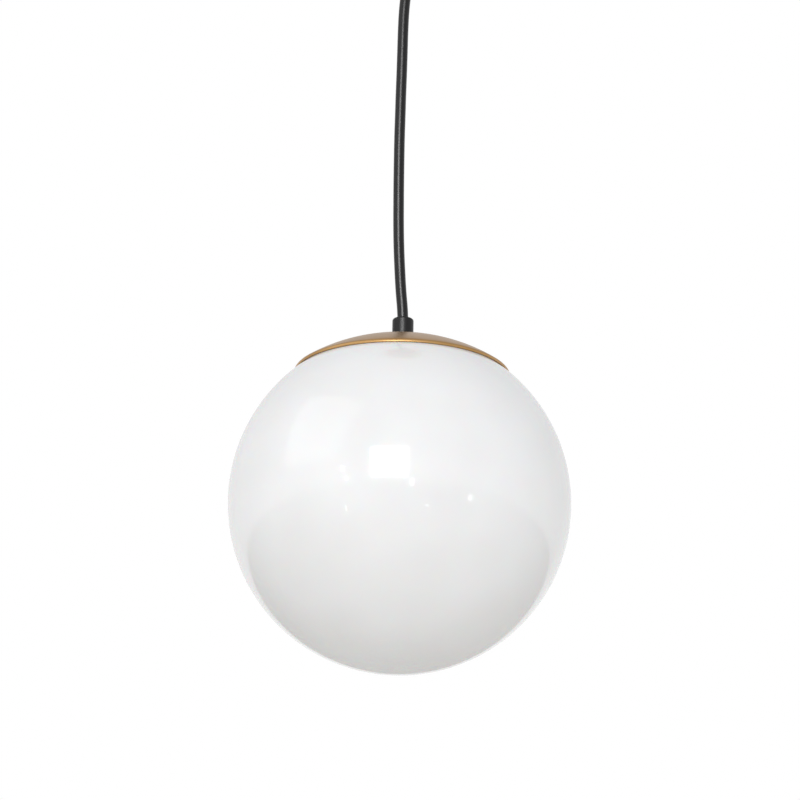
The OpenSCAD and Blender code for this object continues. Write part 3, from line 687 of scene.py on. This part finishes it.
def cad_finish(material, *nodes):
    """Gives the material to CAD nodes, whose meshes stay as they are."""
    for node in nodes:
        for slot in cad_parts[node].material_slots:
            slot.material = material


print("node tools ready for", len(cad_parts), "CAD nodes and the new pieces")

# %% [markdown]
# ### Spun and brushed brass
# Sheet brass with about a third of zinc, spun on a former, brushed on the lathe and lacquered.
# The marks of brushing run in circles round the axis, 0.1 mm apart or less. They are drawn
# 0.5 mm apart here so that they show. The lacquer ages in soft clouds, a little browner.

# %% Brass
def rings(tree, coords, spacing_mm):
    """Noise that changes only with the distance from the axis and the height."""
    parts = add_node(tree, "ShaderNodeSeparateXYZ", Vector=coords).outputs
    flat = add_node(tree, "ShaderNodeCombineXYZ", X=parts["X"], Y=parts["Y"]).outputs[0]
    reach = add_node(tree, "ShaderNodeVectorMath", {"operation": "LENGTH"}, Vector=flat)
    total = add_node(tree, "ShaderNodeMath", {"operation": "ADD"})
    tree.links.new(reach.outputs["Value"], total.inputs[0])
    tree.links.new(parts["Z"], total.inputs[1])
    noise = add_node(tree, "ShaderNodeTexNoise",
                     {"noise_dimensions": "1D", "Scale": 1 / (spacing_mm * MM), "Detail": 2},
                     W=total.outputs[0])
    return noise.outputs["Fac"]


brass, tree, shader, coords = finish("spun_brass", Metallic=1.0, Anisotropic=0.35,
                                     Coat_Weight=0.25, Coat_Roughness=0.22)
clouds = grain(tree, coords, 34, detail=4)
brushing = rings(tree, coords, 0.5)
colour = mix_colours(tree, spread(tree, clouds, 0, 1), "#b58c55", "#c29a66")
tree.links.new(colour, shader.inputs["Base Color"])
tree.links.new(spread(tree, brushing, 0.3, 0.42), shader.inputs["Roughness"])
relief(tree, shader, brushing, 0.012)
wear(brass, cap, rose)
cad_finish(brass, "rose_side_screws")
print("spun brass on", brass.name, "for the cap and the rose")

# %% [markdown]
# ### Turned brass, zinc and spring steel
# The tubes and nuts are turned from brass bar, and the tubes carry a fine thread with a pitch
# of 1 mm, which a sine wave along the axis shows. The bar, the plate and the washers are mild
# steel with bright zinc, which dries in faint spangled clouds. The clips are rolled strip.

# %% Threaded tubes
# Drawn and threaded brass bar: yellow, half bright, with fine level lines.
turned_brass, tree, shader, coords = finish("turned_brass", Metallic=1.0)
TUBE_PITCH = 1
height = add_node(tree, "ShaderNodeSeparateXYZ", Vector=coords).outputs["Z"]
phase = add_node(tree, "ShaderNodeMath", {"operation": "MULTIPLY"})
tree.links.new(height, phase.inputs[0])
phase.inputs[1].default_value = math.tau / (TUBE_PITCH * MM)
thread_wave = add_node(tree, "ShaderNodeMath", {"operation": "SINE"})
tree.links.new(phase.outputs[0], thread_wave.inputs[0])
tree.links.new(mix_colours(tree, grain(tree, coords, 4), "#b58f4c", "#d8b572"),
               shader.inputs["Base Color"])
tree.links.new(spread(tree, grain(tree, coords, 1.5), 0.22, 0.36), shader.inputs["Roughness"])
relief(tree, shader, thread_wave.outputs[0], 0.12, 0.6)
cad_finish(turned_brass, "rose_tube", "lamp_tube")
print("finish:", turned_brass.name)

# %% Nuts, screws and contacts
# Brass faced on a lathe: brighter than the bar, with close rings of the tool.
bright_brass, tree, shader, coords = finish("machined_brass", Metallic=1.0)
tree.links.new(mix_colours(tree, grain(tree, coords, 3), "#ba9552", "#dcbc7c"),
               shader.inputs["Base Color"])
facing = rings(tree, coords, 0.35)
tree.links.new(spread(tree, facing, 0.2, 0.34), shader.inputs["Roughness"])
relief(tree, shader, facing, 0.01)
wear(bright_brass, screw_shell)
cad_finish(bright_brass, "rose_nut", "cap_nut", "plate_nuts", "earth_screw",
           "plate_earth_screw", "holder_terminals", "centre_contact")
print("finish:", bright_brass.name)

# %% Zinc-plated steel
# Mild steel in bright zinc: cool grey, with faint patches about 5 mm across.
zinc, tree, shader, coords = finish("zinc_plated_steel", Metallic=1.0)
spangle = add_node(tree, "ShaderNodeTexVoronoi", {"Scale": 1 / (5 * MM)}, Vector=coords)
tree.links.new(mix_colours(tree, spangle.outputs["Distance"], "#a9acae", "#c4c6c5"),
               shader.inputs["Base Color"])
tree.links.new(spread(tree, grain(tree, coords, 2.5), 0.28, 0.46), shader.inputs["Roughness"])
relief(tree, shader, grain(tree, coords, 0.6), 0.01)
wear(zinc, *rivets)
cad_finish(zinc, "mounting_bar", "rose_washer", "cap_washer", "clip_plate", "terminal_screws")
print("finish:", zinc.name)

# %% Spring steel and nickel
# Rolled strip keeps a fine grey grain. Nickel on brass is smoother, and a little warm.
spring_steel, tree, shader, coords = finish("rolled_spring_steel", Metallic=1.0)
rolling = grain(tree, coords, 0.8, detail=2)
tree.links.new(mix_colours(tree, rolling, "#9a9b99", "#bdbdba"), shader.inputs["Base Color"])
tree.links.new(spread(tree, rolling, 0.25, 0.4), shader.inputs["Roughness"])
relief(tree, shader, rolling, 0.01)
wear(spring_steel, *clips)

nickel, tree, shader, coords = finish("nickel_plated_brass", Metallic=1.0)
tree.links.new(mix_colours(tree, grain(tree, coords, 6), "#b9b4a6", "#d3cfc4"),
               shader.inputs["Base Color"])
tree.links.new(spread(tree, grain(tree, coords, 1.2), 0.16, 0.32), shader.inputs["Roughness"])
relief(tree, shader, grain(tree, coords, 0.5), 0.008)
wear(nickel, bulb_base, solder)
print("finishes:", spring_steel.name, nickel.name)

# %% [markdown]
# ### Opal glass
# Opal glass is clear glass filled with tiny crystals, so light goes in a little way and comes
# out again, and the fire-polished surface mirrors the windows of the room. Subsurface
# scattering over a few millimetres gives the milky depth, and a low roughness gives the
# mirror. Blown glass is never quite even, so a faint swell runs over the surface.

# %% Opal glass
# Blown and flashed opal: white with depth under it, and a mirror-like skin.
opal, tree, shader, coords = finish("opal_glass", IOR=1.5, Roughness=0.13,
                                    Coat_Weight=0.6, Coat_Roughness=0.03,
                                    Subsurface_Weight=0.22, Subsurface_Scale=0.004)
swell = grain(tree, coords, 60, detail=1)
tree.links.new(mix_colours(tree, spread(tree, swell, 0, 1), "#eeeeef", "#f3f3f5"),
               shader.inputs["Base Color"])
relief(tree, shader, swell, 0.35, 0.5)
wear(opal, globe)
print("finish:", opal.name)

# %% Bulb glass
# Acid-etched glass scatters evenly and has no mirror. Black foot glass is fused and wavy.
frosted, tree, shader, coords = finish("frosted_bulb_glass", IOR=1.5,
                                       Subsurface_Weight=0.15, Subsurface_Scale=0.002)
etching = grain(tree, coords, 0.4, detail=4)
tree.links.new(mix_colours(tree, etching, "#f1eee6", "#faf8f3"), shader.inputs["Base Color"])
tree.links.new(spread(tree, etching, 0.28, 0.4), shader.inputs["Roughness"])
relief(tree, shader, etching, 0.006)
wear(frosted, bulb)

black_glass, tree, shader, coords = finish("fused_black_glass", IOR=1.6)
tree.links.new(mix_colours(tree, grain(tree, coords, 2), "#0d0d10", "#1b1a1e"),
               shader.inputs["Base Color"])
tree.links.new(spread(tree, grain(tree, coords, 3), 0.06, 0.2), shader.inputs["Roughness"])
relief(tree, shader, grain(tree, coords, 1.5), 0.05)
wear(black_glass, foot)
print("finishes:", frosted.name, black_glass.name)

# %% [markdown]
# ### PVC, nylon, phenolic and ceramic
# The cord's sheath is soft black PVC with a low sheen, and the lay of the cores under it shows
# as a slow ripple. The grips are moulded in nylon from a spark-eroded tool, which leaves a
# fine even grain. The real grain is finer than the 0.35 mm drawn here. Phenolic is harder and
# glossier, with faint brown mottling.

# %% PVC of the cord
# Extruded soft PVC: near black, half glossy, with a slow ripple along it.
LAY_MM = 45
pvc, tree, shader, coords = finish("pvc_sheath", IOR=1.53, Specular_IOR_Level=0.3)
lay = add_node(tree, "ShaderNodeTexWave",
               {"bands_direction": "DIAGONAL", "Scale": 1 / (LAY_MM * MM) / 3, "Distortion": 1.5,
                "Detail": 1.0}, Vector=coords)
fine = grain(tree, coords, 0.7)
tree.links.new(mix_colours(tree, fine, "#040405", "#0c0c0d"), shader.inputs["Base Color"])
tree.links.new(spread(tree, fine, 0.26, 0.34), shader.inputs["Roughness"])
height = add_node(tree, "ShaderNodeMath", {"operation": "ADD"})
tree.links.new(lay.outputs["Fac"], height.inputs[0])
tree.links.new(grain(tree, coords, 4, detail=1), height.inputs[1])
relief(tree, shader, height.outputs[0], 0.06, 0.7)
wear(pvc, cord)
cad_finish(pvc, "cord_tail", "lamp_lead")
print("finish:", pvc.name)

# %% Black nylon and phenolic
# The nylon has the eroded tool's even matt grain. The phenolic is pressed: hard and glossier.
nylon, tree, shader, coords = finish("moulded_black_nylon", IOR=1.53, Specular_IOR_Level=0.28)
spark = grain(tree, coords, 0.35, detail=2)
tree.links.new(mix_colours(tree, spark, "#050506", "#0e0e0f"), shader.inputs["Base Color"])
tree.links.new(spread(tree, spark, 0.3, 0.45), shader.inputs["Roughness"])
relief(tree, shader, spark, 0.02)
wear(nylon, lamp_grip, rose_grip)
cad_finish(nylon, "rose_grip_screw", "lamp_grip_screw")

phenolic, tree, shader, coords = finish("moulded_phenolic", IOR=1.6)
mottle = grain(tree, coords, 2.2, detail=5)
tree.links.new(mix_colours(tree, mottle, "#17120f", "#2a211c"), shader.inputs["Base Color"])
tree.links.new(spread(tree, mottle, 0.2, 0.32), shader.inputs["Roughness"])
relief(tree, shader, mottle, 0.015)
wear(phenolic, holder_cap, holder_shell)
print("finishes:", nylon.name, phenolic.name)

# %% Ceramic, white nylon and silicone
# Glazed ceramic shines over a speckled body. White nylon is waxy, and silicone is cloudy.
ceramic, tree, shader, coords = finish("glazed_ceramic", IOR=1.52, Coat_Weight=0.4,
                                       Coat_Roughness=0.08)
speck = grain(tree, coords, 0.9, detail=6)
tree.links.new(mix_colours(tree, spread(tree, speck, 0, 1, 0.2, 0.5), "#cdc6b6", "#ece7db"),
               shader.inputs["Base Color"])
tree.links.new(spread(tree, speck, 0.2, 0.35), shader.inputs["Roughness"])
relief(tree, shader, speck, 0.03)
cad_finish(ceramic, "holder_insulator")

white_nylon, tree, shader, coords = finish("natural_nylon", IOR=1.53, Subsurface_Weight=0.1,
                                           Subsurface_Scale=0.002)
spark = grain(tree, coords, 0.5, detail=2)
tree.links.new(mix_colours(tree, spark, "#dcd8cc", "#eae7dd"), shader.inputs["Base Color"])
tree.links.new(spread(tree, spark, 0.38, 0.52), shader.inputs["Roughness"])
relief(tree, shader, spark, 0.02)
cad_finish(white_nylon, "terminal_block")

silicone, tree, shader, coords = finish("frosted_silicone", IOR=1.41, Transmission_Weight=0.35)
bloom = grain(tree, coords, 1.4)
tree.links.new(mix_colours(tree, bloom, "#d9dad4", "#eeefe9"), shader.inputs["Base Color"])
tree.links.new(spread(tree, bloom, 0.4, 0.55), shader.inputs["Roughness"])
relief(tree, shader, bloom, 0.02)
cad_finish(silicone, "seat_ring")
print("finishes:", ceramic.name, white_nylon.name, silicone.name)

# %% [markdown]
# ### Core insulation
# Brown is live, blue is neutral, and green with yellow is earth. The insulation is extruded
# and slightly waxy. The earth core's yellow stripe winds round it, and slanted bands with a
# spacing of 6 mm show it.

# %% Insulation
def insulation(name, dark, light, *pieces):
    """Extruded insulation in one colour."""
    material, tree, shader, coords = finish(name, IOR=1.5)
    wax = grain(tree, coords, 1.1)
    tree.links.new(mix_colours(tree, wax, dark, light), shader.inputs["Base Color"])
    tree.links.new(spread(tree, wax, 0.34, 0.48), shader.inputs["Roughness"])
    relief(tree, shader, wax, 0.02)
    wear(material, *pieces)


insulation("brown_insulation", "#4a2b17", "#5f3a20", *brown_cores)
insulation("blue_insulation", "#17468f", "#2559a8", *blue_cores)

earth, tree, shader, coords = finish("green_yellow_insulation", IOR=1.5)
STRIPE_MM = 6
stripe = add_node(tree, "ShaderNodeTexWave",
                  {"bands_direction": "DIAGONAL", "Scale": 1 / (STRIPE_MM * MM) / 10},
                  Vector=coords)
edge = spread(tree, stripe.outputs["Fac"], 0, 1, 0.45, 0.55)
tree.links.new(mix_colours(tree, edge, "#2f7d2c", "#d9c61f"), shader.inputs["Base Color"])
tree.links.new(spread(tree, grain(tree, coords, 1.1), 0.34, 0.48), shader.inputs["Roughness"])
relief(tree, shader, grain(tree, coords, 1.1), 0.02)
wear(earth, *earth_cores)
print("insulation on", len(brown_cores + blue_cores + earth_cores), "cores")

# %% [markdown]
# ## Floor, daylight and the window
# The light hangs in a pale room. The floor is plain, 3.4 m below the ceiling. A soft white sky
# lights everything evenly and is a little dimmer overhead. A window behind the viewer gives the
# bright patch on the glass, and six far lamps give the small glints round it. A broad soft panel
# makes the upper left a little brighter, and a low fill that no gloss mirrors lifts the globe's
# underside. The cord light reaches only the cord and the two grips, so that black pieces get a
# highlight along them and the white glass stays as it is.

# %% Floor
FLOOR_Z = -3.4
deselect()
bpy.ops.mesh.primitive_grid_add(x_subdivisions=8, y_subdivisions=8, size=160,
                                location=(0, 0, FLOOR_Z))
floor = bpy.context.object
floor.name = "floor"
bpy.ops.object.transform_apply(location=True)
plaster, tree, shader, coords = finish("pale_floor")
shade = grain(tree, coords, 900, detail=2)
tree.links.new(mix_colours(tree, shade, "#e6e4df", "#ebe9e5"), shader.inputs["Base Color"])
tree.links.new(spread(tree, shade, 0.7, 0.85), shader.inputs["Roughness"])
relief(tree, shader, grain(tree, coords, 3), 0.05)
wear(plaster, floor)
print("floor at z =", FLOOR_Z, "m")

# %% Sky
SKY_STRENGTH = 1.02
world = bpy.data.worlds.new("room")
bpy.context.scene.world = world
world.use_nodes = True
tree = world.node_tree
surroundings = tree.nodes["Background"]
surroundings.inputs["Strength"].default_value = SKY_STRENGTH
facing = add_node(tree, "ShaderNodeTexCoord").outputs["Generated"]
upward = add_node(tree, "ShaderNodeSeparateXYZ", Vector=facing).outputs["Z"]
ceiling_share = spread(tree, upward, 0, 1, 0.1, 0.8)
tree.links.new(mix_colours(tree, ceiling_share, "#f8f8f8", "#cdcdce"),
               surroundings.inputs["Color"])
backdrop = add_node(tree, "ShaderNodeBackground", {"Color": (1, 1, 1, 1), "Strength": 1.0})
seen = add_node(tree, "ShaderNodeLightPath").outputs["Is Camera Ray"]
both = add_node(tree, "ShaderNodeMixShader", Fac=seen)
tree.links.new(surroundings.outputs[0], both.inputs[1])
tree.links.new(backdrop.outputs[0], both.inputs[2])
tree.links.new(both.outputs[0], tree.nodes["World Output"].inputs["Surface"])
bpy.context.scene.view_settings.view_transform = "Standard"
print("sky strength:", SKY_STRENGTH)

# %% Lights
LAMP_W_PER_M2 = 24

def soft_light(name, place_at, width, height, power, mirrored=True):
    """A rectangular light that faces the globe, and shows in its gloss if mirrored is true."""
    deselect()
    bpy.ops.object.light_add(type="AREA", location=place_at)
    light = bpy.context.object
    light.name = name
    light.data.shape = "RECTANGLE"
    light.data.size, light.data.size_y = width, height
    light.data.energy = power
    light.visible_glossy = mirrored
    reach = [a - b for a, b in zip((0, 0, globe_z), place_at)]
    tilt = math.degrees(math.atan2(reach[2], math.hypot(reach[0], reach[1])))
    aim(light, tilt, math.degrees(-math.atan2(reach[0], reach[1])), 0)
    return light


soft_light("window", (-0.29, -2.36, -0.06), 1.02, 0.84, 14)
soft_light("left_panel", (-1.8, -1.0, 0.9), 1.8, 1.8, 6)
soft_light("low_fill", (0.2, -1.5, -2.3), 2.0, 2.0, 8, mirrored=False)
ROOM_LAMPS = [((-1.43, -1.92, -0.18), 0.1, 0.13), ((-1.36, -2, -0.45), 0.09, 0.08),
              ((-1.36, -1.87, -1.2), 0.05, 0.1), ((0.32, -2.4, -0.61), 0.1, 0.17),
              ((1.74, -1.65, -0.79), 0.06, 0.14), ((0.73, -2.21, -1.18), 0.06, 0.06)]
for number, (place_at, width, height) in enumerate(ROOM_LAMPS, 1):
    soft_light(f"room_lamp_{number}", place_at, width, height,
               LAMP_W_PER_M2 * width * height)
sheen_light = soft_light("cord_light", (-0.3, -2.3, 0.6), 1.1, 0.7, 40)
lit_by_it = bpy.data.collections.new("black_pieces")
for piece in (cord, lamp_grip, rose_grip):
    lit_by_it.objects.link(piece)
sheen_light.light_linking.receiver_collection = lit_by_it
